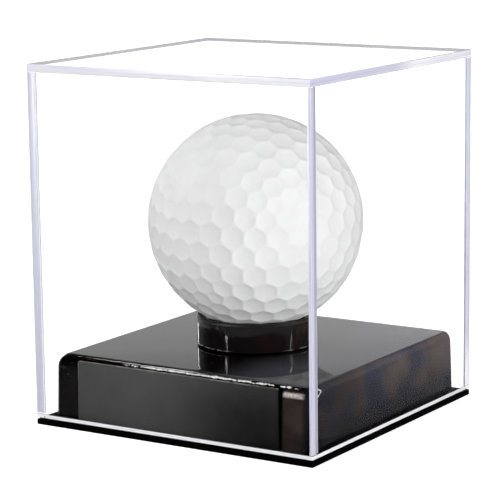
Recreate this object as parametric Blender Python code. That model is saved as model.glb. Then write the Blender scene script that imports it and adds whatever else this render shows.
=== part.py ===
"""Golf ball display case, built piece by piece in metres.

A clear cover of five bonded panels stands on a thin black plate. Inside it a moulded riser carries
a ring, the ring's tapered seat carries a dimpled golf ball, and a bare plaque is taped to the
riser's front. The origin is the middle of the plate's underside, +Z is up, the plaque faces -Y.
"""

import math

import bmesh
import bpy
from mathutils import Matrix, Vector

# Clear cover
COVER_WIDTH = 0.0630
COVER_DEPTH = 0.0630
HEADROOM = 0.0097
WALL_THICKNESS = 0.0019
TOP_THICKNESS = 0.0016
PANEL_EDGE_BREAK = 0.0001

# Base plate
PLATE_THICKNESS = 0.0011
PLATE_EDGE_BREAK = 0.0001

# Moulded riser
RISER_HEIGHT = 0.0124
RISER_WALL = 0.0020
RISER_CORNER_RADIUS = 0.0018
RISER_FILLET_ACROSS = 0.0021
RISER_FILLET_DROP = 0.0026
RISER_INNER_RADIUS = 0.0008
RISER_DRAFT_DEGREES = 1.3

# Ring under the ball. The seat's angle sets how wide a circle of the ball it carries, and the
# ring's rim and throat are measured from that circle, outwards and inwards.
RING_HEIGHT = 0.0057
RING_RIM = 0.0014
RING_THROAT = 0.0011
RING_EDGE_RADIUS = 0.0003
SEAT_ANGLE_DEGREES = 29.8

# Plaque and its tape
PLAQUE_SIDE_MARGIN = 0.0064
PLAQUE_HEAD_MARGIN = 0.00055
PLAQUE_FOOT_MARGIN = 0.00015
PLAQUE_THICKNESS = 0.00035
PLAQUE_CORNER_RADIUS = 0.0005
TAPE_MARGIN = 0.0010
TAPE_THICKNESS = 0.0001

# Golf ball
BALL_DIAMETER = 0.04267
BALL_COVER_THICKNESS = 0.0017
DIMPLE_DEPTH = 0.00028
DIMPLE_LAND = 0.00050
BALL_TURN_DEGREES = 28.9
BALL_TILT_DEGREES = 9.7
BALL_SPIN_DEGREES = -3.2

# Clearances: what rests, what slides past, what is bonded, and the ball's moulding seam
REST_GAP = 0.0003
SLIDE_GAP = 0.0002
SIDE_GAP = 0.0003
BOND_GAP = 0.0001
SEAM_GAP = 0.0001

# Facets
CORNER_STEPS = 6
FILLET_STEPS = 6
RING_STEPS = 72
RING_EDGE_STEPS = 3
DIMPLE_CUTS = 5
SMOOTH_SUBDIVISIONS = 4
MERGE_SHARE = 0.00001
CORNER_FADE_SHARE = 0.7

# Levels and places that follow from the sizes above
COVER_FOOT_LEVEL = PLATE_THICKNESS + REST_GAP
RISER_FOOT_LEVEL = PLATE_THICKNESS + REST_GAP
RISER_TOP_LEVEL = RISER_FOOT_LEVEL + RISER_HEIGHT
RING_FOOT_LEVEL = RISER_TOP_LEVEL + REST_GAP
RING_TOP_LEVEL = RING_FOOT_LEVEL + RING_HEIGHT
DRAFT = math.radians(RISER_DRAFT_DEGREES)

# The plaque, its tape and their bond lines fill the room between the riser's front and the cover.
PLAQUE_STACK = BOND_GAP + TAPE_THICKNESS + BOND_GAP + PLAQUE_THICKNESS
RISER_LEFT = -COVER_WIDTH / 2 + WALL_THICKNESS + SIDE_GAP
RISER_RIGHT = COVER_WIDTH / 2 - WALL_THICKNESS - SIDE_GAP
RISER_FRONT = -COVER_DEPTH / 2 + WALL_THICKNESS + SLIDE_GAP + PLAQUE_STACK
RISER_REAR = COVER_DEPTH / 2 - WALL_THICKNESS - SIDE_GAP
PLAQUE_WIDTH = RISER_RIGHT - RISER_LEFT - 2 * PLAQUE_SIDE_MARGIN
PLAQUE_HEIGHT = RISER_HEIGHT - PLAQUE_FOOT_MARGIN - PLAQUE_HEAD_MARGIN

# The ball touches the seat's cone on one circle, a clearance off it.
BALL_RADIUS = BALL_DIAMETER / 2
SEAT_RADIUS = BALL_RADIUS * math.sin(math.radians(SEAT_ANGLE_DEGREES))
SEAT_DEPTH = math.sqrt(BALL_RADIUS**2 - SEAT_RADIUS**2)
SEAT_SLOPE = SEAT_RADIUS / SEAT_DEPTH
SEAT_LIFT = REST_GAP * BALL_RADIUS / SEAT_DEPTH
RING_RADIUS = SEAT_RADIUS + RING_RIM
BORE_RADIUS = SEAT_RADIUS - RING_THROAT
SEAT_MOUTH_RADIUS = (SEAT_RADIUS + RING_RADIUS - RING_EDGE_RADIUS) / 2
BALL_LEVEL = RING_TOP_LEVEL - (SEAT_MOUTH_RADIUS - SEAT_RADIUS) * SEAT_SLOPE + SEAT_DEPTH + SEAT_LIFT
CORE_RADIUS = BALL_RADIUS - BALL_COVER_THICKNESS - REST_GAP

# The cover clears the ball by its headroom.
TOP_FOOT_LEVEL = BALL_LEVEL + BALL_RADIUS + HEADROOM
COVER_HEIGHT = TOP_FOOT_LEVEL + TOP_THICKNESS - COVER_FOOT_LEVEL


def clear_scene():
    """Removes every object that the scene opened with."""
    for item in list(bpy.data.objects):
        bpy.data.objects.remove(item, do_unlink=True)


def finish(name, color, roughness, metallic=0.0, transmission=0.0, alpha=1.0):
    """A Principled material for one sub-part."""
    material = bpy.data.materials.new(name)
    material.use_nodes = True
    shader = material.node_tree.nodes["Principled BSDF"]
    shader.inputs["Base Color"].default_value = (*color, 1.0)
    shader.inputs["Roughness"].default_value = roughness
    shader.inputs["Metallic"].default_value = metallic
    shader.inputs["Transmission Weight"].default_value = transmission
    shader.inputs["Alpha"].default_value = alpha
    material.diffuse_color = (*color, alpha)
    return material


def clear_acrylic(name):
    """Clear cast acrylic sheet, with a faint lavender cast."""
    return finish(name, (0.90, 0.90, 0.95), 0.03, transmission=1.0, alpha=0.25)


def black_gloss(name):
    """Glossy black moulded plastic."""
    return finish(name, (0.012, 0.012, 0.014), 0.08)


def add_object(name, mesh, material, parent=None, location=(0, 0, 0)):
    """Turns a finished bmesh into a named object at its place."""
    data = bpy.data.meshes.new(name)
    mesh.to_mesh(data)
    mesh.free()
    data.materials.append(material)
    item = bpy.data.objects.new(name, data)
    bpy.context.scene.collection.objects.link(item)
    item.parent = parent
    item.location = location
    return item


def add_empty(name, location, tilt=0.0, parent=None):
    """An empty that carries pieces; tilt leans it back about X."""
    empty = bpy.data.objects.new(name, None)
    bpy.context.scene.collection.objects.link(empty)
    empty.parent = parent
    empty.location = location
    empty.rotation_euler = (-tilt, 0, 0)
    return empty


def smooth_sides(item, degrees=40.0):
    """Shades an object smooth, with its real edges kept sharp."""
    item.data.shade_smooth()
    item.data.set_sharp_from_angle(angle=math.radians(degrees))


def break_edges(item, width):
    """A small chamfer round every edge, as a sheet has after its edges are dressed."""
    bevel = item.modifiers.new("edge_break", "BEVEL")
    bevel.width = width
    bevel.segments = 1
    bevel.limit_method = "ANGLE"


def add_sheet(name, low, high, edge_break, material, parent=None):
    """A flat rectangular sheet between two corners, given in its parent's frame."""
    low, high = Vector(low), Vector(high)
    mesh = bmesh.new()
    bmesh.ops.create_cube(mesh, size=1)
    bmesh.ops.scale(mesh, vec=high - low, verts=mesh.verts)
    item = add_object(name, mesh, material, parent, (low + high) / 2)
    break_edges(item, edge_break)
    return item


def rounded_outline(left, right, front, rear, radius):
    """Points of a rectangle with round corners, anticlockwise seen from above."""
    corners = (
        (right - radius, rear - radius),
        (left + radius, rear - radius),
        (left + radius, front + radius),
        (right - radius, front + radius),
    )
    points = []
    for quarter, (x, y) in enumerate(corners):
        for step in range(CORNER_STEPS + 1):
            angle = (quarter + step / CORNER_STEPS) * math.pi / 2
            points.append((x + radius * math.cos(angle), y + radius * math.sin(angle)))
    return points


def add_ring_of_points(mesh, outline, level):
    """One horizontal section of a loft."""
    return [mesh.verts.new((x, y, level)) for x, y in outline]


def bridge(mesh, lower, upper):
    """A band of faces between two sections that have the same number of points."""
    count = len(lower)
    for i in range(count):
        j = (i + 1) % count
        mesh.faces.new((lower[i], lower[j], upper[j], upper[i]))


def loft(mesh, sections):
    """Bridges sections from the foot up and closes the last one. Returns the foot section."""
    rings = [add_ring_of_points(mesh, outline, level) for outline, level in sections]
    for lower, upper in zip(rings, rings[1:]):
        bridge(mesh, lower, upper)
    mesh.faces.new(rings[-1])
    return rings[0]


def riser_section(level, inset, radius):
    """The riser's outline at a level above its foot, drawn in by its draft and by an inset."""
    drawn_in = inset + level * math.tan(DRAFT)
    outline = rounded_outline(
        RISER_LEFT + drawn_in,
        RISER_RIGHT - drawn_in,
        RISER_FRONT + drawn_in,
        RISER_REAR - drawn_in,
        radius,
    )
    return outline, level


def riser_side(wall, top_level, corner_radius, across, drop):
    """Sections of the riser's outer or inner side: drafted walls, then a round to the top."""
    sections = [riser_section(0, wall, corner_radius)]
    for step in range(FILLET_STEPS + 1):
        angle = step / FILLET_STEPS * math.pi / 2
        level = top_level - drop + drop * math.sin(angle)
        rolled_share = 1 - math.cos(angle)
        radius = corner_radius * (1 - CORNER_FADE_SHARE * rolled_share)
        sections.append(riser_section(level, wall + across * rolled_share, radius))
    return sections


def build_riser():
    """The moulded riser: drafted walls, round top edge, hollow and open below."""
    mesh = bmesh.new()
    outer = riser_side(
        0, RISER_HEIGHT, RISER_CORNER_RADIUS, RISER_FILLET_ACROSS, RISER_FILLET_DROP
    )
    inner = riser_side(
        RISER_WALL,
        RISER_HEIGHT - RISER_WALL,
        RISER_INNER_RADIUS,
        RISER_INNER_RADIUS,
        RISER_INNER_RADIUS,
    )
    bridge(mesh, loft(mesh, outer), loft(mesh, inner))
    bmesh.ops.recalc_face_normals(mesh, faces=mesh.faces)
    item = add_object("riser_shell", mesh, black_gloss("riser_gloss"), location=(0, 0, RISER_FOOT_LEVEL))
    smooth_sides(item)


def ring_profile():
    """Half section of the ring, from the bore's foot round the outside to the seat."""
    bore_seat_level = RING_HEIGHT - (SEAT_MOUTH_RADIUS - BORE_RADIUS) * SEAT_SLOPE
    points = [(BORE_RADIUS, 0), (RING_RADIUS, 0)]
    for step in range(RING_EDGE_STEPS + 1):
        angle = step / RING_EDGE_STEPS * math.pi / 2
        across = RING_RADIUS - RING_EDGE_RADIUS * (1 - math.cos(angle))
        points.append((across, RING_HEIGHT - RING_EDGE_RADIUS * (1 - math.sin(angle))))
    points.append((SEAT_MOUTH_RADIUS, RING_HEIGHT))
    points.append((BORE_RADIUS, bore_seat_level))
    return points


def build_ring():
    """The short tube that carries the ball, turned from its half section."""
    mesh = bmesh.new()
    profile = [mesh.verts.new((radius, 0, level)) for radius, level in ring_profile()]
    for here, there in zip(profile, profile[1:] + profile[:1]):
        mesh.edges.new((here, there))
    bmesh.ops.spin(
        mesh,
        geom=mesh.verts[:] + mesh.edges[:],
        cent=(0, 0, 0),
        axis=(0, 0, 1),
        angle=2 * math.pi,
        steps=RING_STEPS,
        use_merge=True,
    )
    bmesh.ops.remove_doubles(mesh, verts=mesh.verts, dist=RING_RADIUS * MERGE_SHARE)
    bmesh.ops.recalc_face_normals(mesh, faces=mesh.faces)
    item = add_object("ball_ring", mesh, black_gloss("ring_gloss"), location=(0, 0, RING_FOOT_LEVEL))
    smooth_sides(item, 30.0)


def build_plate():
    """The thin black plate under everything, as wide as the cover."""
    low = (-COVER_WIDTH / 2, -COVER_DEPTH / 2, 0)
    high = (COVER_WIDTH / 2, COVER_DEPTH / 2, PLATE_THICKNESS)
    add_sheet("base_plate", low, high, PLATE_EDGE_BREAK, black_gloss("plate_gloss"))


def upright_plate(name, width, height, thickness, radius, material, parent, offset):
    """A thin upright plate with round corners, its back at an offset in front of its parent."""
    mesh = bmesh.new()
    outline = rounded_outline(-width / 2, width / 2, -height / 2, height / 2, radius)
    back = add_ring_of_points(mesh, outline, 0)
    front = add_ring_of_points(mesh, outline, thickness)
    bridge(mesh, back, front)
    mesh.faces.new(front)
    mesh.faces.new(back)
    bmesh.ops.recalc_face_normals(mesh, faces=mesh.faces)
    bmesh.ops.rotate(mesh, matrix=Matrix.Rotation(math.pi / 2, 3, "X"), verts=mesh.verts)
    return add_object(name, mesh, material, parent, (0, -offset, 0))


def build_plaque():
    """The bare plaque and the tape behind it, square to the riser's drafted front."""
    middle = PLAQUE_FOOT_MARGIN + PLAQUE_HEIGHT / 2
    face = RISER_FRONT + middle * math.tan(DRAFT)
    carrier = add_empty("plaque_face", (0, face, RISER_FOOT_LEVEL + middle), tilt=DRAFT)
    tape_finish = finish("tape_foam", (0.03, 0.03, 0.03), 0.8)
    tape_height = RISER_HEIGHT - RISER_FILLET_DROP - PLAQUE_FOOT_MARGIN - 2 * TAPE_MARGIN
    tape = upright_plate(
        "plaque_tape",
        PLAQUE_WIDTH - 2 * TAPE_MARGIN,
        tape_height,
        TAPE_THICKNESS,
        PLAQUE_CORNER_RADIUS,
        tape_finish,
        carrier,
        BOND_GAP,
    )
    tape.location.z = TAPE_MARGIN + tape_height / 2 - PLAQUE_HEIGHT / 2
    upright_plate(
        "plaque_plate",
        PLAQUE_WIDTH,
        PLAQUE_HEIGHT,
        PLAQUE_THICKNESS,
        PLAQUE_CORNER_RADIUS,
        finish("plaque_satin", (0.05, 0.05, 0.052), 0.35),
        carrier,
        PLAQUE_STACK - PLAQUE_THICKNESS,
    )


def build_cover():
    """Five bonded panels. The top lies over the walls, and the left wall runs the full depth."""
    carrier = add_empty("cover_lift", (0, 0, COVER_FOOT_LEVEL))
    left, right = -COVER_WIDTH / 2, COVER_WIDTH / 2
    front, rear = -COVER_DEPTH / 2, COVER_DEPTH / 2
    inner_left = left + WALL_THICKNESS
    inner_right = right - WALL_THICKNESS
    inner_front = front + WALL_THICKNESS
    inner_rear = rear - WALL_THICKNESS
    top_foot = COVER_HEIGHT - TOP_THICKNESS
    wall_top = top_foot - BOND_GAP
    panels = {
        "cover_left_panel": ((left, front, 0), (inner_left, rear, wall_top)),
        "cover_front_panel": ((inner_left + BOND_GAP, front, 0), (right, inner_front, wall_top)),
        "cover_rear_panel": ((inner_left + BOND_GAP, inner_rear, 0), (right, rear, wall_top)),
        "cover_right_panel": (
            (inner_right, inner_front + BOND_GAP, 0),
            (right, inner_rear - BOND_GAP, wall_top),
        ),
        "cover_top_panel": ((left, front, top_foot), (right, rear, COVER_HEIGHT)),
    }
    for name, (low, high) in panels.items():
        material = clear_acrylic(name.replace("panel", "acrylic"))
        add_sheet(name, low, high, PANEL_EDGE_BREAK, material, carrier)


def geodesic_sphere():
    """A unit sphere of even triangles: an icosahedron with its faces cut alike."""
    mesh = bmesh.new()
    bmesh.ops.create_icosphere(mesh, subdivisions=1, radius=1)
    bmesh.ops.subdivide_edges(mesh, edges=mesh.edges, cuts=DIMPLE_CUTS, use_grid_fill=True)
    for vert in mesh.verts:
        vert.co.normalize()
    return mesh


def around(vert):
    """The faces about a vertex, in order round it."""
    normal = vert.co.normalized()
    first = normal.orthogonal().normalized()
    second = normal.cross(first)

    def bearing(face):
        offset = face.calc_center_median() - vert.co
        return math.atan2(offset.dot(second), offset.dot(first))

    return sorted(vert.link_faces, key=bearing)


def dimpled_sphere():
    """The ball's outside: one six-sided dimple for each point of the geodesic sphere."""
    points = geodesic_sphere()
    mesh = bmesh.new()
    corner = {}
    for face in points.faces:
        centre = face.calc_center_median().normalized()
        corner[face] = mesh.verts.new(centre * BALL_RADIUS)
    cells = [mesh.faces.new([corner[face] for face in around(vert)]) for vert in points.verts]
    points.free()
    mesh.normal_update()
    bmesh.ops.inset_individual(mesh, faces=cells, thickness=DIMPLE_LAND / 2, depth=0)
    for vert in mesh.verts:
        vert.co = vert.co.normalized() * BALL_RADIUS
    pits = bmesh.ops.poke(mesh, faces=cells)["verts"]
    for vert in pits:
        vert.co = vert.co.normalized() * (BALL_RADIUS - DIMPLE_DEPTH)
    turn = Matrix.Rotation(math.radians(BALL_TURN_DEGREES), 3, "Z")
    tilt = Matrix.Rotation(math.radians(BALL_TILT_DEGREES), 3, "X")
    spin = Matrix.Rotation(math.radians(BALL_SPIN_DEGREES), 3, "Z")
    bmesh.ops.rotate(mesh, matrix=turn @ tilt @ spin, verts=mesh.verts)
    return mesh


def keep_one_side(mesh, side):
    """Cuts a sphere at the seam and keeps its upper (+1) or lower (-1) part."""
    bmesh.ops.bisect_plane(
        mesh,
        geom=mesh.verts[:] + mesh.edges[:] + mesh.faces[:],
        dist=BALL_RADIUS * MERGE_SHARE,
        plane_co=(0, 0, side * SEAM_GAP / 2),
        plane_no=(0, 0, side),
        clear_inner=True,
    )


def build_ball_half(name, side, carrier):
    """One moulded half of the ball's cover: dimpled outside, smooth inside."""
    mesh = dimpled_sphere()
    keep_one_side(mesh, side)
    inside = bmesh.new()
    bmesh.ops.create_icosphere(
        inside, subdivisions=SMOOTH_SUBDIVISIONS, radius=BALL_RADIUS - BALL_COVER_THICKNESS
    )
    keep_one_side(inside, side)
    bmesh.ops.reverse_faces(inside, faces=inside.faces)
    inner = bpy.data.meshes.new(name + "_inside")
    inside.to_mesh(inner)
    inside.free()
    mesh.from_mesh(inner)
    bpy.data.meshes.remove(inner)
    rim = [edge for edge in mesh.edges if edge.is_boundary]
    bmesh.ops.bridge_loops(mesh, edges=rim)
    bmesh.ops.recalc_face_normals(mesh, faces=mesh.faces)
    item = add_object(name, mesh, finish(name + "_white", (0.86, 0.86, 0.85), 0.3), carrier)
    smooth_sides(item, 8.0)


def build_ball():
    """The golf ball: a solid core inside two cover halves that meet at the seam."""
    carrier = add_empty("ball_lift", (0, 0, BALL_LEVEL))
    mesh = bmesh.new()
    bmesh.ops.create_icosphere(mesh, subdivisions=SMOOTH_SUBDIVISIONS, radius=CORE_RADIUS)
    core = add_object("ball_core", mesh, finish("core_rubber", (0.85, 0.55, 0.12), 0.6), carrier)
    smooth_sides(core)
    build_ball_half("ball_cover_upper", 1, carrier)
    build_ball_half("ball_cover_lower", -1, carrier)


def main():
    clear_scene()
    build_plate()
    build_riser()
    build_ring()
    build_plaque()
    build_ball()
    build_cover()


main()
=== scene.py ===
import math

import bpy
from mathutils import Euler, Matrix, Vector


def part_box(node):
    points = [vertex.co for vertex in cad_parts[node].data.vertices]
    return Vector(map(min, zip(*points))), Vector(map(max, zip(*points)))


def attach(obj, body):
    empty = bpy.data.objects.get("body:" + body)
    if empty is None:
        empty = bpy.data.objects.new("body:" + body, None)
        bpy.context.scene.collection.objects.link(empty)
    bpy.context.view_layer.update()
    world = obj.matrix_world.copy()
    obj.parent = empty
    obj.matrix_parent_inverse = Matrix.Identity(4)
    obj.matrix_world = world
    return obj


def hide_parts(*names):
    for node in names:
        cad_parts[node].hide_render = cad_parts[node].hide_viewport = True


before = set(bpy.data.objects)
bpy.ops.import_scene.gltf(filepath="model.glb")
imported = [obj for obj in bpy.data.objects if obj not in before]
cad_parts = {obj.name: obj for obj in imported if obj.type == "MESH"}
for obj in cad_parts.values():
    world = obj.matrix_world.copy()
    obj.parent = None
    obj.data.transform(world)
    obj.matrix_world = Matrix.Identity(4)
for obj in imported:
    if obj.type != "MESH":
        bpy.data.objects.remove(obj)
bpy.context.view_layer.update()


# Small helpers for modelling by operator

def clearPicks():
    # the loaded nodes arrive selected, and an operator acts on all that is selected
    if bpy.context.object and bpy.context.object.mode != "OBJECT":
        bpy.ops.object.mode_set(mode="OBJECT")
    bpy.ops.object.select_all(action="DESELECT")


def settle(piece, name):
    # names a new piece and moves its place into its mesh
    clearPicks()
    piece.select_set(True)
    bpy.context.view_layer.objects.active = piece
    piece.name = name
    piece.data.name = name
    bpy.ops.object.transform_apply(location=True, rotation=True, scale=True)
    return piece


def addBox(name, low, high):
    clearPicks()
    low, high = Vector(low), Vector(high)
    bpy.ops.mesh.primitive_cube_add(size=1, location=(low + high) / 2, scale=high - low)
    return settle(bpy.context.object, name)


def pick(piece, kind, test):
    # goes into edit mode with only the parts that pass the test selected
    if piece.mode != "OBJECT":
        bpy.ops.object.mode_set(mode="OBJECT")
    clearPicks()
    piece.select_set(True)
    bpy.context.view_layer.objects.active = piece
    mesh = piece.data
    for parts in (mesh.vertices, mesh.edges, mesh.polygons):
        parts.foreach_set("select", [False] * len(parts))
    parts = {"VERT": mesh.vertices, "EDGE": mesh.edges, "FACE": mesh.polygons}[kind]
    parts.foreach_set("select", [bool(test(part)) for part in parts])
    bpy.context.tool_settings.mesh_select_mode = [kind == each for each in ("VERT", "EDGE", "FACE")]
    bpy.ops.object.mode_set(mode="EDIT")


def leaveEdit():
    bpy.ops.object.mode_set(mode="OBJECT")


def edgeTest(piece, test):
    # wraps a test of an edge's two end points
    points = [vert.co.copy() for vert in piece.data.vertices]
    return lambda edge: test(points[edge.vertices[0]], points[edge.vertices[1]])


def applyModifier(piece, kind, **settings):
    modifier = piece.modifiers.new("work", kind)
    for name, value in settings.items():
        setattr(modifier, name, value)
    clearPicks()
    piece.select_set(True)
    bpy.context.view_layer.objects.active = piece
    bpy.ops.object.modifier_apply(modifier=modifier.name)


def smoothByAngle(piece, degrees):
    clearPicks()
    piece.select_set(True)
    bpy.context.view_layer.objects.active = piece
    bpy.ops.object.shade_smooth_by_angle(angle=math.radians(degrees))


def dress(piece, finishes, choose=None):
    # gives a piece its materials; choose picks a finish's number for a face
    piece.data.materials.clear()
    for finish in finishes:
        piece.data.materials.append(finish)
    if choose:
        for face in piece.data.polygons:
            face.material_index = choose(face)


def place(piece, body, slot, *nodes):
    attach(piece, body)
    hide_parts(*nodes)


# Shader maths: a wire is a socket, and sums on wires add their own nodes

class Wire:
    def __init__(self, tree, socket=None):
        self.tree = tree
        self.socket = socket

    def node(self, kind, settings, values, output=0):
        made = self.tree.nodes.new("ShaderNode" + kind)
        for name, value in settings.items():
            setattr(made, name, value)
        for name, value in values.items():
            if isinstance(value, Wire):
                self.tree.links.new(value.socket, made.inputs[name])
            else:
                made.inputs[name].default_value = value
        return Wire(self.tree, made.outputs[output])

    def math(self, operation, first, second=0.0, clamp=False):
        settings = {"operation": operation, "use_clamp": clamp}
        return self.node("Math", settings, {0: first, 1: second})

    def __add__(self, other):
        return self.math("ADD", self, other)

    def __radd__(self, other):
        return self.math("ADD", other, self)

    def __sub__(self, other):
        return self.math("SUBTRACT", self, other)

    def __rsub__(self, other):
        return self.math("SUBTRACT", other, self)

    def __mul__(self, other):
        return self.math("MULTIPLY", self, other)

    def __truediv__(self, other):
        return self.math("DIVIDE", self, other)

    def __pow__(self, other):
        return self.math("POWER", self, other)

    def __abs__(self):
        return self.math("ABSOLUTE", self)

    def clamped(self):
        return self.math("ADD", self, 0.0, clamp=True)

    def between(self, low, high):
        # 0 below low, 1 above high, smooth from one to the other
        span = {0: self, "From Min": low, "From Max": high}
        return self.node("MapRange", {"interpolation_type": "SMOOTHSTEP"}, span)

    def blend(self, low, high):
        # a colour between two, by this wire
        return self.node("Mix", {"data_type": "RGBA"}, {0: self, 6: low, 7: high}, output=2)

    def axis(self, name):
        return self.node("SeparateXYZ", {}, {0: self}, output="XYZ".index(name))

    def stretched(self, scale):
        return self.node("Mapping", {}, {"Vector": self, "Scale": scale})

    def noise(self, scale, detail=2.0, roughness=0.5):
        values = {"Vector": self, "Scale": scale, "Detail": detail, "Roughness": roughness}
        return self.node("TexNoise", {}, values)

    def cells(self, scale):
        return self.node("TexVoronoi", {}, {"Vector": self, "Scale": scale})


def newFinish(name):
    # an empty material, its tree as a wire, and a wire of the place on the object
    material = bpy.data.materials.new(name)
    material.use_nodes = True
    material.node_tree.nodes.clear()
    board = Wire(material.node_tree)
    spot = board.node("TexCoord", {}, {}, output=3)
    return material, board, spot


def surface(board, shader, kind="Material"):
    out = board.tree.nodes.new("ShaderNodeOutput" + kind)
    board.tree.links.new(shader.socket, out.inputs["Surface"])


def principled(board, values):
    return board.node("BsdfPrincipled", {}, values)


def bump(board, height, distance, strength=1.0):
    return board.node("Bump", {}, {"Strength": strength, "Distance": distance, "Height": height})


# Camera at the photo's view

cameraSizes = {
    "azimuth": 32.41,
    "elevation": 10.42,
    "distance": 0.4365,
    "lens": 158.57,
    "sensor": 36,
    "clip": (0.01, 20),
    "aimHeight": 0.035,
    "aimRight": -0.00120,
    "aimUp": -0.00248,
    "roll": 0.698,
}


def directionOf(azimuth, elevation):
    # from the object outwards: azimuth from the front to the right, elevation up, in degrees
    azimuth, elevation = math.radians(azimuth), math.radians(elevation)
    return Vector((math.sin(azimuth) * math.cos(elevation), -math.cos(azimuth) * math.cos(elevation),
                   math.sin(elevation)))


def addCamera(sizes):
    azimuth, roll = math.radians(sizes["azimuth"]), math.radians(sizes["roll"])
    back = directionOf(sizes["azimuth"], sizes["elevation"])
    right = Vector((math.cos(azimuth), math.sin(azimuth), 0))
    up = back.cross(right)
    aim = Vector((0, 0, sizes["aimHeight"])) + right * sizes["aimRight"] + up * sizes["aimUp"]
    data = bpy.data.cameras.new("camera")
    data.lens = sizes["lens"]
    data.sensor_width = sizes["sensor"]
    data.clip_start, data.clip_end = sizes["clip"]
    camera = bpy.data.objects.new("camera", data)
    bpy.context.scene.collection.objects.link(camera)
    leanRight = right * math.cos(roll) - up * math.sin(roll)
    leanUp = right * math.sin(roll) + up * math.cos(roll)
    turn = Matrix((leanRight, leanUp, back)).transposed()
    camera.matrix_world = Matrix.Translation(aim + back * sizes["distance"]) @ turn.to_4x4()
    bpy.context.scene.camera = camera


addCamera(cameraSizes)
bpy.context.scene.view_settings.view_transform = "Standard"
print("camera done")


# Studio: white sweep and backdrop, a dark ceiling over them for the mirror-like plastics, soft lamps

studioSizes = {
    # pairs are where one part of the room passes into the next, as a share of a direction
    "fill": 0.06,
    "backdropTop": (0.27, 0.40),
    "ceiling": 0.05,
    "rearCeiling": 0.30,
    "rearSide": (-0.50, -0.47),
    "rearDepth": (0.60, 0.70),
    "frontRoom": 0.10,
    "frontTurn": (-0.35, 0.25),
    "leftWall": 0.90,
    "leftTurn": (-0.56, -0.48),
    "sweepTone": 0.85,
    "sweepGlow": 0.72,
    "farGlow": 0.3,
    "farRing": (0.25, 0.60),
    "sweepSize": 6.0,
    "lampAim": 0.035,
}
lamps = {
    # watts, width, height, azimuth, elevation, distance
    "frontLamp": (7.2, 0.90, 0.12, 34, 2, 1.2),
    "rightLamp": (5.3, 0.50, 0.12, 95, 2, 1.2),
    "leftLamp": (7.0, 0.50, 0.50, -80, 30, 1.2),
    "topLamp": (5.6, 0.60, 0.60, 32, 80, 1.2),
}
strips = {
    # narrow lights that only the glossy pieces mirror
    "leftStrip": (16.0, 0.08, 0.34, -28.5, 13, 1.1),
    "rightStrip": (9.0, 0.07, 0.30, 101, 13, 1.1),
    "rimStrip": (1.8, 0.10, 0.30, -122, 14, 1.1),
    "backStrip": (4.5, 0.21, 0.20, -121, 52, 1.1),
}


def rayKinds(board):
    # camera, glossy and transmission rays
    names = "Is Camera Ray", "Is Glossy Ray", "Is Transmission Ray"
    return [board.node("LightPath", {}, {}, output=name) for name in names]


def addWorld(sizes):
    world = bpy.data.worlds.new("studio")
    bpy.context.scene.world = world
    world.use_nodes = True
    world.node_tree.nodes.clear()
    board = Wire(world.node_tree)
    toward = board.node("TexCoord", {}, {}, output="Generated")
    camera, glossy, through = rayKinds(board)
    rear = toward.axis("Y").between(*sizes["rearDepth"]) * toward.axis("X").between(*sizes["rearSide"])
    over = sizes["ceiling"] + rear * (sizes["rearCeiling"] - sizes["ceiling"])
    wall = 1.0 - toward.axis("Z").between(*sizes["backdropTop"]) * (1.0 - over)
    room = sizes["frontRoom"] + toward.axis("Y").between(*sizes["frontTurn"]) * (1 - sizes["frontRoom"])
    room = room * (sizes["leftWall"] + toward.axis("X").between(*sizes["leftTurn"]) * (1 - sizes["leftWall"]))
    seen = camera.math("MAXIMUM", camera, through)
    level = seen + (1.0 - seen) * (glossy * wall * room + (1.0 - glossy) * sizes["fill"])
    surface(board, board.node("Background", {}, {"Color": (1, 1, 1, 1), "Strength": level}), "World")


def addSweep(sizes):
    clearPicks()
    bpy.ops.mesh.primitive_plane_add(size=sizes["sweepSize"], location=(0, 0, 0))
    floor = settle(bpy.context.object, "sweep")
    material, board, spot = newFinish("sweepPaper")
    camera, glossy, through = rayKinds(board)
    reach = board.node("VectorMath", {"operation": "LENGTH"}, {0: spot}, output="Value")
    far = reach.between(*sizes["farRing"])
    seen = camera.math("MAXIMUM", camera.math("MAXIMUM", camera, through), glossy * far)
    strength = seen * (sizes["sweepGlow"] + far * sizes["farGlow"])
    glow = board.node("Emission", {}, {"Color": (1, 1, 1, 1), "Strength": strength})
    paper = board.node("BsdfDiffuse", {}, {"Color": (sizes["sweepTone"],) * 3 + (1,)})
    surface(board, board.node("AddShader", {}, {0: paper, 1: glow}))
    dress(floor, [material])


def addLamp(name, mirrored, power, width, height, azimuth, elevation, distance):
    away = directionOf(azimuth, elevation)
    data = bpy.data.lights.new(name, "AREA")
    data.shape = "RECTANGLE"
    data.size = width
    data.size_y = height
    data.energy = power
    lamp = bpy.data.objects.new(name, data)
    lamp.visible_camera = False
    lamp.visible_glossy = mirrored
    lamp.visible_diffuse = not mirrored
    bpy.context.scene.collection.objects.link(lamp)
    middle = Vector((0, 0, studioSizes["lampAim"]))
    turn = away.to_track_quat("Z", "Y").to_matrix()
    lamp.matrix_world = Matrix.Translation(middle + away * distance) @ turn.to_4x4()


addWorld(studioSizes)
addSweep(studioSizes)
for name, values in lamps.items():
    addLamp(name, False, *values)
for name, values in strips.items():
    addLamp(name, True, *values)
print("studio done")


# Finishes

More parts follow.
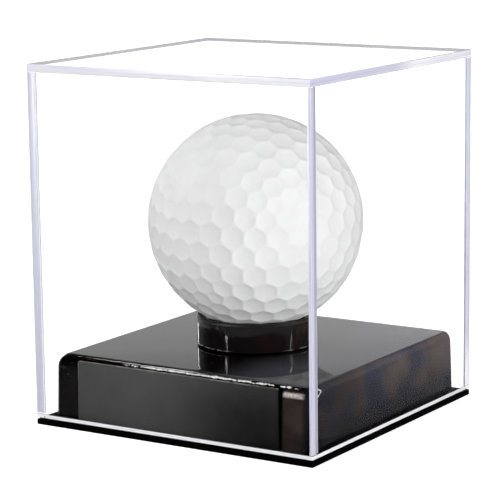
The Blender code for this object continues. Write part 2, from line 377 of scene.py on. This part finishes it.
def blackGloss(name, tone, roughness, waviness, ior, overlays=None, dullFrom=None):
    # deep black plastic: faint moulding ripples, fine wiping marks, a few specks of dust;
    # overlays lay more dust and painted highlights and reflections over it, and above one level it may be
    # dull
    material, board, spot = newFinish(name)
    waves = spot.noise(90.0, 2.0)
    ripples = spot.noise(650.0, 1.0)
    wipes = spot.stretched((260, 900, 300)).noise(1.0, 4.0, 0.6)
    haze = spot.noise(140.0, 4.0)
    specks = (1.0 - spot.cells(900.0).between(0.03, 0.07)) * spot.noise(60.0, 2.0).between(0.60, 0.68)
    base = haze.between(0.40, 0.62).blend((*tone, 1), (tone[0] * 1.6, tone[1] * 0.9, tone[2] * 0.8, 1))
    # overlays paint highlights, reflections and dust into the base colour
    if overlays:
        for mask, color in overlays(spot):
            base = mask.blend(base, color)
    base = specks.blend(base, (0.30, 0.29, 0.28, 1))
    rough = roughness + haze.between(0.45, 0.75) * 0.03 + wipes.between(0.60, 0.72) * 0.04 + specks * 0.4
    if dullFrom:
        rough = rough + spot.axis("Z").between(*dullFrom) * 0.45
    lay = bump(board, waves * 4.0 + ripples, waviness)
    surface(board, principled(board, {"Base Color": base, "Roughness": rough, "IOR": ior, "Normal": lay}))
    return material


riserOverlaySizes = {
    # metres on the riser, pairs are where a mark fades in or out
    # side and end: painted reflections; highlightBand, edgeHighlight and hook: painted highlights; dust: dust
    "sideAcross": (0.0272, 0.0284),
    "sideAlong": (-0.034, 0.014),
    "sideRise": (-0.001, 0.014),
    "endFront": (-0.0284, -0.0276),
    "endLeft": (0.0232, 0.0238),
    "endRight": (0.0272, 0.0282),
    "highlightBandFoot": (0.0115, 0.0119),
    "highlightBandHead": (0.0124, 0.0128),
    "paintedLightRampLeft": (-0.018, -0.002),
    "paintedLightRampRight": (0.012, 0.022),
    "edgeHighlightLeft": (-0.0135, -0.0115),
    "edgeHighlightRight": (0.0262, 0.0266),
    "hookLeft": (0.0262, 0.0268),
    "dustLeft": (0.004, 0.018),
    "dustUnder": (0.0003, 0.0001),
    # millimetres under the top and inwards from the front
    "edgeHighlightUnder": 0.69,
    "edgeHighlightWidth": (0.07, 0.14),
    "edgeHighlightEnd": (1.8, 2.2),
    "hookUpper": (0.45, 0.88),
    "hookLower": (0.55, 3.94),
    "hookWidth": (0.08, 0.20),
    "hookStart": (2.2, 2.4),
    "hookEnd": (4.7, 4.9),
}


def riserDustAndPaintedLight(spot):
    # painted reflection, blue to brown, on the right side; painted reflection, brown, with a pale
    # painted highlight band on the front's right end; dust on the top; a painted highlight in
    # specks along the front's top edge, and a hooked painted highlight past its right end
    sizes = riserOverlaySizes
    low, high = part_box("riser_shell")
    across, along, rise = spot.axis("X"), spot.axis("Y"), spot.axis("Z")
    patches, highlightBreakup, ragged = spot.noise(150.0, 3.0), spot.noise(900.0, 2.0), spot.noise(2400.0, 2.0)
    # painted reflection on the right side, blue to brown, weaker towards its front and foot
    side = across.between(*sizes["sideAcross"]) * (0.10 + along.between(*sizes["sideAlong"]) * 0.90)
    side = side * rise.between(*sizes["sideRise"])
    sideReflection = spot.noise(130.0, 1.0).between(0.42, 0.58)
    sideReflection = sideReflection.blend((0.052, 0.052, 0.088, 1), (0.094, 0.072, 0.068, 1))
    # painted reflection on the front's right end, brown
    end = (1.0 - along.between(*sizes["endFront"])) * across.between(*sizes["endLeft"])
    end = end * (1.0 - across.between(*sizes["endRight"]))
    # a pale painted highlight band on that end
    highlightBand = rise.between(*sizes["highlightBandFoot"]) * (1.0 - rise.between(*sizes["highlightBandHead"]))
    highlightBand = highlightBand * (0.55 + ragged.between(0.35, 0.60) * 0.45)
    under = (high[2] - rise) * 1000.0
    inward = (along - low[1]) * 1000.0
    # a painted highlight along the front's top edge, broken into specks
    paintedLightRamp = highlightBreakup + across.between(*sizes["paintedLightRampLeft"]) * 0.14 - across.between(*sizes["paintedLightRampRight"]) * 0.11
    edgeHighlight = 1.0 - abs(under + ragged * 0.5 - sizes["edgeHighlightUnder"]).between(*sizes["edgeHighlightWidth"])
    edgeHighlight = edgeHighlight * paintedLightRamp.between(0.49, 0.55) * across.between(*sizes["edgeHighlightLeft"])
    edgeHighlight = edgeHighlight * (1.0 - across.between(*sizes["edgeHighlightRight"])) * (1.0 - inward.between(*sizes["edgeHighlightEnd"]))
    # a hooked painted highlight past the right end of that edge
    upperSlope, upperPlace = sizes["hookUpper"]
    lowerSlope, lowerPlace = sizes["hookLower"]
    upper = abs(under - inward * upperSlope + upperPlace)
    lower = abs(under + inward * lowerSlope - lowerPlace)
    hook = 1.0 - upper.math("MINIMUM", upper, lower).between(*sizes["hookWidth"])
    hook = hook * inward.between(*sizes["hookStart"]) * (1.0 - inward.between(*sizes["hookEnd"]))
    hook = hook * across.between(*sizes["hookLeft"]) * highlightBreakup.between(0.35, 0.50)
    dust = rise.between(*(high[2] - level for level in sizes["dustUnder"]))
    dust = (dust * across.between(*sizes["dustLeft"]) * (0.7 + patches * 0.6)).clamped()
    return [(dust, (0.048, 0.048, 0.058, 1)),
            (side * (0.6 + patches.between(0.35, 0.62) * 0.4), sideReflection),
            (end * (0.4 + patches.between(0.35, 0.60) * 0.6), (0.034, 0.022, 0.020, 1)),
            (end * highlightBand, (0.52, 0.46, 0.43, 1)),
            (edgeHighlight.math("MAXIMUM", edgeHighlight, hook * 0.72), (0.88, 0.87, 0.85, 1))]


footHighlightSizes = {
    # millimetres over the ring's foot, then metres to either side of its middle
    "rise": 0.24,
    "width": (0.05, 0.13),
    "sides": (0.0045, 0.0075),
    "facing": (0.84, 0.54),
}


def ringFootHighlight(spot):
    # a thin painted highlight along the ring's foot, at both sides of it
    sizes = footHighlightSizes
    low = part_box("ball_ring")[0]
    above = (spot.axis("Z") - low[2]) * 1000.0
    aside = abs(spot.axis("X") * sizes["facing"][0] + spot.axis("Y") * sizes["facing"][1])
    footHighlight = (1.0 - abs(above - sizes["rise"]).between(*sizes["width"])) * aside.between(*sizes["sides"])
    return [(footHighlight * spot.noise(800.0, 2.0).between(0.38, 0.52), (0.20, 0.20, 0.22, 1))]


def clearSheet(name):
    # polished clear sheet: lets the light straight through, and mirrors more at a slant
    material, board, spot = newFinish(name)
    slant = board.node("LayerWeight", {}, {"Blend": 0.5}, output="Facing")
    wipes = spot.stretched((500, 500, 40)).noise(1.0, 3.0)
    share = (slant ** 5.0 * 0.15).clamped()
    clear = board.node("BsdfTransparent", {}, {"Color": (0.998, 0.998, 1, 1)})
    rough = wipes.between(0.3, 0.8) * 0.03 + 0.01
    mirror = board.node("BsdfGlossy", {}, {"Color": (1, 1, 1, 1), "Roughness": rough})
    surface(board, board.node("MixShader", {}, {0: share, 1: clear, 2: mirror}))
    return material


def thinAxis(low, high):
    return min(range(3), key=lambda i: high[i] - low[i])


def backOf(board):
    # 1 where a face is seen from behind
    return board.node("NewGeometry", {}, {}, output="Backfacing")


def sheetDepth(spot, node, outward):
    # 0 at a sheet's outer face and 1 at its inner face
    low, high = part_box(node)
    thin = thinAxis(low, high)
    depth = (spot.axis("XYZ"[thin]) - low[thin]) / (high[thin] - low[thin])
    return (1.0 - depth if outward > 0 else depth), thin


def sheetEnd(name, node, outward, fade=None, rimLine=False, lift=1.0, dim=0.0):
    # a sheet's open end gathers the light of the room: lavender, with lines along its length.
    # It shows from outside, and from within only as a rim line where it has one
    material, board, spot = newFinish(name)
    depth, thin = sheetDepth(spot, node, outward)
    broad, fine = [45.0] * 3, [22.0] * 3
    broad[thin], fine[thin] = 1500.0, 5200.0
    lines = spot.stretched(broad).noise(1.0, 1.0)
    hairs = spot.stretched(fine).noise(1.0, 1.0)
    zone = spot.noise(42.0, 1.0)
    shade = (lines.between(0.30, 0.66) * 0.55 + hairs.between(0.36, 0.62) * 0.45)
    cool, warm, light = [tuple(min(part * lift, 0.97) for part in tone) + (1,)
                         for tone in ((0.575, 0.575, 0.755), (0.625, 0.605, 0.735), (0.735, 0.725, 0.865))]
    base = shade.blend(zone.between(0.40, 0.60).blend(cool, warm), light)
    # painted shade: dim darkens the inner half; a paler painted line runs at the outer face
    base = (depth.between(0.45, 0.60) * dim).blend(base, (0.36, 0.35, 0.47, 1))
    base = (1.0 - depth.between(0.03, 0.14)).blend(base, (0.80, 0.79, 0.90, 1))
    # where it fades, the painted light turns pale
    if fade:
        axis, start, end = fade
        pale = spot.axis(axis).between(start, end)
        base = (pale * (0.55 + hairs.between(0.40, 0.52) * 0.45)).blend(base, (0.95, 0.945, 0.985, 1))
        base = (pale * (1.0 - depth.between(0.10, 0.16))).blend(base, (0.56, 0.55, 0.66, 1))
    behind = backOf(board)
    alpha = (1.0 - behind) * 0.97
    if rimLine:
        rim = 1.0 - depth.between(0.38, 0.52)
        base = behind.blend(base, (0.15, 0.15, 0.20, 1))
        alpha = alpha + behind * rim * 0.74
    rough = 0.3 + hairs * 0.1
    surface(board, principled(board, {"Base Color": base, "Roughness": rough, "IOR": 1.3, "Alpha": alpha}))
    return material


def sheetLip(name, node, lips):
    # next to a wall's end its own face shows the light that the end gathers
    material, board, spot = newFinish(name)
    right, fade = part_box(node)[1][0], 0.00014
    across = spot.axis("X")
    lines = spot.stretched((2600, 45, 45)).noise(1.0, 1.0)
    base = lines.between(0.35, 0.65).blend((0.60, 0.595, 0.765, 1), (0.735, 0.725, 0.865, 1))
    inner = across.between(right - lips[1], right - lips[1] + fade)
    base = (across.between(0, 0.001) * (1.0 - inner)).blend(base, (0.90, 0.89, 0.96, 1))
    behind = backOf(board)
    alpha = (1.0 - behind) * 0.96
    surface(board, principled(board, {"Base Color": base, "Roughness": 0.3, "IOR": 1.3, "Alpha": alpha}))
    return material


def sheetBond(name, node, outward):
    # a cemented end inside the cover: clear, with a pale strip next to the outer corner
    material, board, spot = newFinish(name)
    depth = sheetDepth(spot, node, outward)[0]
    bubbles = spot.noise(1500.0, 2.0)
    strip = 1.0 - depth.between(0.14, 0.34)
    behind = backOf(board)
    alpha = (strip * 0.8 + bubbles.between(0.6, 0.75) * 0.04) * (1.0 - behind * 0.8)
    base = bubbles.between(0.4, 0.6).blend((0.88, 0.87, 0.93, 1), (0.95, 0.95, 0.98, 1))
    surface(board, principled(board, {"Base Color": base, "Roughness": 0.35, "IOR": 1.2, "Alpha": alpha}))
    return material


footSizes = {
    # millimetres over the cover's lower end
    "edge": (0.03, 0.09),
    "darkLine": (0.72, 0.78),
    "end": (0.84, 0.94),
}


def sheetFoot(name, footLevel, sizes):
    # the foot of the cover's walls, bright with the light that its lower end gathers
    material, board, spot = newFinish(name)
    rise = (spot.axis("Z") - footLevel) * 1000.0
    streaks = spot.stretched((120, 120, 4000)).noise(1.0, 2.0)
    base = streaks.between(0.3, 0.7).blend((0.93, 0.93, 0.97, 1), (1.0, 1.0, 1.0, 1))
    base = (1.0 - rise.between(*sizes["edge"])).blend(base, (0.62, 0.60, 0.74, 1))
    base = rise.between(*sizes["darkLine"]).blend(base, (0.06, 0.06, 0.08, 1))
    behind = backOf(board)
    alpha = 0.97 - rise.between(*sizes["darkLine"]) * 0.32 - rise.between(*sizes["end"]) * 0.65
    alpha = (alpha * (1.0 - behind)).clamped()
    surface(board, principled(board, {"Base Color": base, "Roughness": 0.3, "IOR": 1.3, "Alpha": alpha}))
    return material


def plaqueSatin(name):
    # dark coated sheet metal with a painted sheen, paler towards its left end, and paler along its top and
    # left edges
    low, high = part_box("plaque_plate")
    material, board, spot = newFinish(name)
    brushed = spot.stretched((120, 2000, 5200)).noise(1.0, 3.0, 0.6)
    mottled = spot.noise(220.0, 3.0)
    # painted sheen: paler towards the left end
    paintedLightRamp = 1.0 - spot.axis("X").between(-0.010, 0.018)
    paintedSheen = (paintedLightRamp * 0.8 + mottled * 0.2 - 0.08).clamped()
    base = paintedSheen.blend((0.0015, 0.0015, 0.0015, 1), (0.078, 0.078, 0.077, 1))
    near, far = 0.00009, 0.00016
    topEdge = spot.axis("Z").between(high[2] - far, high[2] - near)
    leftEdge = 1.0 - spot.axis("X").between(low[0] + near, low[0] + far)
    paleEdges = topEdge.math("MAXIMUM", topEdge, leftEdge)
    paleEdges = paleEdges * (0.20 + spot.noise(700.0, 2.0).between(0.40, 0.60) * 0.50)
    base = paleEdges.blend(base, (0.26, 0.25, 0.22, 1))
    rough = 0.34 + mottled * 0.08 + brushed * 0.04
    lay = bump(board, brushed, 0.000003, 0.5)
    surface(board, principled(board, {"Base Color": base, "Roughness": rough, "IOR": 1.15, "Normal": lay}))
    return material


def ballPaint(name):
    # white paint with a dull sheen, faintly mottled
    material, board, spot = newFinish(name)
    mottled = spot.noise(120.0, 4.0)
    grain = spot.noise(2600.0, 3.0)
    base = mottled.between(0.35, 0.7).blend((0.83, 0.83, 0.825, 1), (0.87, 0.87, 0.868, 1))
    lay = bump(board, grain, 0.000004, 0.5)
    rough = 0.6 + mottled * 0.1
    surface(board, principled(board, {"Base Color": base, "Roughness": rough, "IOR": 1.12, "Normal": lay}))
    return material


def tapeFoam(name):
    material, board, spot = newFinish(name)
    cells = spot.cells(3000.0)
    base = cells.between(0.1, 0.6).blend((0.02, 0.02, 0.02, 1), (0.05, 0.05, 0.05, 1))
    lay = bump(board, cells, 0.00005)
    surface(board, principled(board, {"Base Color": base, "Roughness": 0.85, "Normal": lay}))
    return material


def coreRubber(name):
    material, board, spot = newFinish(name)
    grain = spot.noise(400.0, 5.0)
    base = grain.between(0.3, 0.7).blend((0.70, 0.42, 0.08, 1), (0.90, 0.62, 0.18, 1))
    lay = bump(board, grain, 0.00005)
    surface(board, principled(board, {"Base Color": base, "Roughness": 0.6, "Normal": lay}))
    return material


plateFinish = blackGloss("plateGloss", (0.0012, 0.0012, 0.0015), 0.18, 0.00001, 1.035)
riserFinish = blackGloss("riserGloss", (0.0012, 0.0012, 0.0015), 0.04, 0.000008, 1.2, riserDustAndPaintedLight)
dullRim, dullFade = 0.0006, 0.0002
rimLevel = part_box("ball_ring")[1][2] - dullRim
ringFinish = blackGloss("ringGloss", (0.0070, 0.0058, 0.0066), 0.04, 0.000007, 1.28, ringFootHighlight,
                        (rimLevel, rimLevel + dullFade))
plaqueFinish = plaqueSatin("plaqueSatin")
paintFinish = ballPaint("ballPaint")
print("finishes done")


# CAD nodes that keep their own shape

keptFinishes = {
    "base_plate": plateFinish,
    "plaque_tape": tapeFoam("tapeFoam"),
    "ball_core": coreRubber("coreRubber"),
}
for node, finish in keptFinishes.items():
    dress(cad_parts[node], [finish])


# Cover: one bevelled sheet for each panel, its face clear and its open ends bright

coverSizes = {
    "edgeRound": 0.00010,
    "roundSteps": 2,
    "footBand": 0.00100,
    "bond": 0.00008,
    "smooth": 35,
}
sheets = {
    # outward: which way the outer face looks, open: the ends that nothing covers,
    # fade: along what and from where to where an end's painted light turns pale, lift and dim: how bright
    # an end's painted light is and how much painted shade darkens its inner half, lips: the widths of the
    # painted bright lips at the left and right ends of the face turned to the front
    "cover_left_panel": {"outward": -1, "open": ("front", "rear"), "lift": 0.90},
    "cover_front_panel": {"outward": -1, "open": ("right",), "lift": 0.92, "dim": 0.8,
                          "lips": (0.00045, 0.00060)},
    "cover_rear_panel": {"outward": 1, "open": ("right",), "lift": 0.95, "fade": ("Z", 0.014, 0.005),
                         "lips": (0, 0.00040)},
    "cover_right_panel": {"outward": 1, "open": ()},
    "cover_top_panel": {"outward": 1, "open": ("front", "rear", "left", "right"), "lift": 1.3,
                        "fade": ("X", 0.003, 0.013), "sideLift": 0.9, "sideFade": ("Y", -0.001, 0.009)},
}


def addPanel(node, sheet, sizes):
    low, high = [list(corner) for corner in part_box(node)]
    label = node.replace("cover_", "").replace("_panel", "")
    thin = thinAxis(low, high)
    for i, sides in enumerate((("left", "right"), ("front", "rear"), ("foot", "above"))):
        # a cemented end reaches into the bond line
        if i != thin:
            low[i] -= 0 if sides[0] in sheet["open"] + ("foot",) else sizes["bond"]
            high[i] += 0 if sides[1] in sheet["open"] else sizes["bond"]
    piece = addBox(label + "Panel", low, high)
    pick(piece, "EDGE", lambda edge: True)
    bpy.ops.mesh.bevel(offset=sizes["edgeRound"], segments=sizes["roundSteps"], affect="EDGES")
    leaveEdit()
    if thin != 2:
        pick(piece, "FACE", lambda face: True)
        bpy.ops.mesh.bisect(plane_co=(0, 0, low[2] + sizes["footBand"]), plane_no=(0, 0, 1))
        leaveEdit()
    lips = sheet.get("lips", (0, 0))
    marks = low[0] + lips[0], high[0] - lips[1]
    for mark, lip in zip(marks, lips):
        if lip:
            pick(piece, "FACE", lambda face: True)
            bpy.ops.mesh.bisect(plane_co=(mark, 0, 0), plane_no=(1, 0, 0))
            leaveEdit()

    def choose(face):
        # 0 clear face, 1 open end, 2 cemented end, 3 foot, 4 lip, 5 the top's left and right ends
        flat = face.normal[thin] * sheet["outward"]
        if flat < -0.9 and not any(lips):
            return 0
        if thin != 2 and face.center.z < low[2] + sizes["footBand"] and flat >= 0:
            return 3
        if any(lips) and face.normal.y < -0.3 and not marks[0] < face.center.x < marks[1]:
            return 4
        if abs(flat) > 0.9:
            return 0
        across = max((i for i in range(3) if i != thin), key=lambda i: abs(face.normal[i]))
        side = (("left", "right"), ("front", "rear"), ("below", "above"))[across][face.normal[across] > 0]
        if side not in sheet["open"]:
            return 2
        return 5 if thin == 2 and across == 0 else 1

    outward, fade = sheet["outward"], sheet.get("fade")
    lift, dim = sheet.get("lift", 1.0), sheet.get("dim", 0.0)
    finishes = [clearFinish, sheetEnd(label + "End", node, outward, fade, thin == 2, lift, dim),
                sheetBond(label + "Bond", node, outward), footFinish]
    if any(lips):
        finishes.append(sheetLip(label + "Lip", node, lips))
    if thin == 2:
        sideEnd = sheetEnd(label + "SideEnd", node, outward, sheet["sideFade"], True, sheet["sideLift"])
        finishes += [clearFinish, sideEnd]
    dress(piece, finishes, choose)
    smoothByAngle(piece, sizes["smooth"])
    place(piece, "cover", "clear_acrylic", node)


clearFinish = clearSheet("acrylicClear")
footFinish = sheetFoot("acrylicFoot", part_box("cover_front_panel")[0][2], footSizes)
for node, sheet in sheets.items():
    addPanel(node, sheet, coverSizes)
print("cover done")


# Riser: drafted block whose top edge rounds over, hollow below

riserSizes = {
    "wall": 0.0020,
    "corner": 0.0018,
    "across": 0.0021,
    "rightAcross": 0.0009,
    "drop": 0.0026,
    "corners": 0.0008,
    "steps": 12,
    "cornerSteps": 10,
    "draft": 1.3,
    "smooth": 30,
}


def addRiser(sizes):
    low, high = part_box("riser_shell")
    height = high[2] - low[2]
    slope = math.tan(math.radians(sizes["draft"]))
    shoulder = high[2] - sizes["drop"]
    piece = addBox("riserShell", low, (high[0], high[1], shoulder))
    widths = [high[0] - low[0], high[1] - low[1]]
    middle = Vector(((low[0] + high[0]) / 2, (low[1] + high[1]) / 2, shoulder))

    def drawIn(left, right, ends):
        # moves the left, the right, and the front and rear sides of what is selected inwards
        shares = (1 - (left + right) / widths[0], 1 - 2 * ends / widths[1], 1)
        pivot = Vector(middle)
        pivot.x += widths[0] * (left / (left + right) - 0.5)
        bpy.ops.transform.resize(value=shares, center_override=pivot)
        middle.x += (left - right) / 2
        widths[0] -= left + right
        widths[1] -= 2 * ends

    def drawEven(amount):
        drawIn(amount, amount, amount)

    pick(piece, "FACE", lambda face: face.normal.z > 0.9)
    drawEven((shoulder - low[2]) * slope)
    leaveEdit()
    pick(piece, "EDGE", edgeTest(piece, lambda a, b: abs(a.z - b.z) > height / 2))
    bpy.ops.mesh.bevel(offset=sizes["corner"], segments=sizes["cornerSteps"], affect="EDGES")
    leaveEdit()
    pick(piece, "FACE", lambda face: face.normal.z > 0.9)
    for step in range(sizes["steps"]):
        start, end = (math.pi / 2 * (step + i) / sizes["steps"] for i in range(2))
        part = math.cos(start) - math.cos(end)
        inward = sizes["corners"] * part
        bpy.ops.mesh.inset(thickness=inward, depth=sizes["drop"] * (math.sin(end) - math.sin(start)))
        for i in range(2):
            widths[i] -= 2 * inward
        wide = sizes["across"] * part - inward
        drawIn(wide, sizes["rightAcross"] * part - inward, wide)
    leaveEdit()
    pick(piece, "FACE", lambda face: face.normal.z < -0.9)
    widths[:] = [high[0] - low[0], high[1] - low[1]]
    middle.x = (low[0] + high[0]) / 2
    bpy.ops.mesh.extrude_region_move(TRANSFORM_OT_translate={"value": (0, 0, 0)})
    drawEven(sizes["wall"])
    bpy.ops.mesh.extrude_region_move(TRANSFORM_OT_translate={"value": (0, 0, height - sizes["wall"])})
    drawEven((height - sizes["wall"]) * slope)
    leaveEdit()
    dress(piece, [riserFinish])
    smoothByAngle(piece, sizes["smooth"])
    place(piece, "base", "riser_gloss", "riser_shell")


addRiser(riserSizes)
print("riser done")


# Ring: turned tube with a sloping seat under the ball

ringSizes = {
    "steps": 160,
    "edgeRound": 0.0003,
    "edgeSteps": 6,
    "footRound": 0.00018,
    "footSteps": 4,
    "seatAngle": 29.8,
    "throat": 0.0011,
    "seatRadius": 0.010603,
    "mouthRound": 0.0001,
    "mouthDrop": 0.00003,
    "merge": 0.000002,
    "smooth": 30,
}


def addRing(sizes):
    low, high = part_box("ball_ring")
    radius, height = high[0], high[2] - low[2]
    bore = sizes["seatRadius"] - sizes["throat"]
    mouth = (sizes["seatRadius"] + radius - sizes["edgeRound"]) / 2
    drop = (mouth - bore) * math.tan(math.radians(sizes["seatAngle"]))
    foot, edge, lip = sizes["footRound"], sizes["edgeRound"], sizes["mouthRound"]
    profile = [(bore, 0), (radius - foot, 0)]
    for step in range(1, sizes["footSteps"] + 1):
        turn = step / sizes["footSteps"] * math.pi / 2
        profile.append((radius - foot * (1 - math.sin(turn)), foot * (1 - math.cos(turn))))
    for step in range(sizes["edgeSteps"] + 1):
        turn = step / sizes["edgeSteps"] * math.pi / 2
        profile.append((radius - edge * (1 - math.cos(turn)), height - edge * (1 - math.sin(turn))))
    profile += [(mouth + lip, height), (mouth, height - sizes["mouthDrop"]), (mouth - lip, height - lip),
                (bore, height - drop)]
    mesh = bpy.data.meshes.new("ballRing")
    mesh.from_pydata([(across, 0, low[2] + up) for across, up in profile],
                     [(i, (i + 1) % len(profile)) for i in range(len(profile))], [])
    piece = bpy.data.objects.new("ballRing", mesh)
    bpy.context.scene.collection.objects.link(piece)
    pick(piece, "EDGE", lambda edge: True)
    bpy.ops.mesh.spin(steps=sizes["steps"], angle=2 * math.pi, center=(0, 0, 0), axis=(0, 0, 1))
    bpy.ops.mesh.select_all(action="SELECT")
    bpy.ops.mesh.remove_doubles(threshold=sizes["merge"])
    bpy.ops.mesh.normals_make_consistent(inside=False)
    leaveEdit()
    dress(piece, [ringFinish])
    smoothByAngle(piece, sizes["smooth"])
    place(piece, "base", "ring_gloss", "ball_ring")


addRing(ringSizes)
print("ring done")


# Plaque: thin rounded plate, square to the riser's drafted front

plaqueSizes = {
    "thickness": 0.00035,
    "corner": 0.0005,
    "cornerSteps": 8,
    "edge": 0.00007,
    "edgeSteps": 3,
    "smooth": 35,
}


def addPlaque(sizes):
    low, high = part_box("plaque_plate")
    lean = math.radians(riserSizes["draft"])
    height = (high[2] - low[2] - sizes["thickness"] * math.sin(lean)) / math.cos(lean)
    width = high[0] - low[0]
    middle = (Vector(low) + Vector(high)) / 2
    clearPicks()
    bpy.ops.mesh.primitive_cube_add(size=1, location=(0, 0, 0), scale=(width, sizes["thickness"], height))
    piece = settle(bpy.context.object, "plaquePlate")
    pick(piece, "EDGE", edgeTest(piece, lambda a, b: abs(a.y - b.y) > sizes["thickness"] / 2))
    bpy.ops.mesh.bevel(offset=sizes["corner"], segments=sizes["cornerSteps"], affect="EDGES")
    leaveEdit()
    pick(piece, "EDGE", edgeTest(piece, lambda a, b: max(a.y, b.y) < -sizes["thickness"] / 4))
    bpy.ops.mesh.bevel(offset=sizes["edge"], segments=sizes["edgeSteps"], affect="EDGES")
    leaveEdit()
    piece.rotation_euler = (-lean, 0, 0)
    piece.location = middle
    settle(piece, "plaquePlate")
    dress(piece, [plaqueFinish])
    smoothByAngle(piece, sizes["smooth"])
    place(piece, "base", "plaque_satin", "plaque_plate")


addPlaque(plaqueSizes)
print("plaque done")


# Golf ball: six-sided dimples over a net of even triangles

ballSizes = {
    "radius": 0.021335,
    "land": 0.00013,
    "wall": 0.00040,
    "wallDrop": 0.00013,
    "slope": 0.00070,
    "slopeDrop": 0.00008,
    "pitDrop": 0.00003,
    "cuts": 5,
    "turn": (9.66, 0.53, 25.75),
    "grow": 1.0016,
    "netShare": 0.9999,
    "smooth": 180,
}


def addBall(sizes):
    low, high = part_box("ball_core")
    middle = (Vector(low) + Vector(high)) / 2
    clearPicks()
    bpy.ops.mesh.primitive_ico_sphere_add(subdivisions=1, radius=sizes["radius"], location=(0, 0, 0))
    piece = settle(bpy.context.object, "ballCover")
    pick(piece, "FACE", lambda face: True)
    bpy.ops.mesh.subdivide(number_cuts=sizes["cuts"])
    leaveEdit()

    def roundOff(radius):
        # pushes every corner out to the ball's radius
        for vert in piece.data.vertices:
            vert.co = vert.co.normalized() * radius

    roundOff(sizes["radius"])
    pick(piece, "FACE", lambda face: True)
    bpy.ops.mesh.poke()
    leaveEdit()
    netRadius = sizes["radius"] * sizes["netShare"]
    onNet = [vert.co.length > netRadius for vert in piece.data.vertices]
    pick(piece, "EDGE", lambda edge: onNet[edge.vertices[0]] and onNet[edge.vertices[1]])
    bpy.ops.mesh.edge_rotate(use_ccw=True)
    leaveEdit()
    pick(piece, "VERT", lambda vert: vert.co.length > netRadius)
    bpy.ops.mesh.dissolve_verts()
    leaveEdit()
    pick(piece, "FACE", lambda face: True)
    bpy.ops.mesh.subdivide(number_cuts=1)
    leaveEdit()
    roundOff(sizes["radius"])
    pick(piece, "FACE", lambda face: True)
    bpy.ops.mesh.inset(thickness=sizes["land"], use_individual=True)
    bpy.ops.mesh.inset(thickness=sizes["wall"], depth=-sizes["wallDrop"], use_individual=True)
    bpy.ops.mesh.inset(thickness=sizes["slope"], depth=-sizes["slopeDrop"], use_individual=True)
    bpy.ops.mesh.poke(offset=-sizes["pitDrop"])
    leaveEdit()
    applyModifier(piece, "SUBSURF", levels=1, render_levels=1)
    piece.scale = (sizes["grow"],) * 3
    piece.rotation_euler = Euler([math.radians(angle) for angle in sizes["turn"]])
    piece.location = middle
    settle(piece, "ballCover")
    dress(piece, [paintFinish])
    smoothByAngle(piece, sizes["smooth"])
    print("ball faces:", len(piece.data.polygons))
    place(piece, "ball", "ball_white", "ball_cover_upper", "ball_cover_lower")


addBall(ballSizes)
print("ball done")
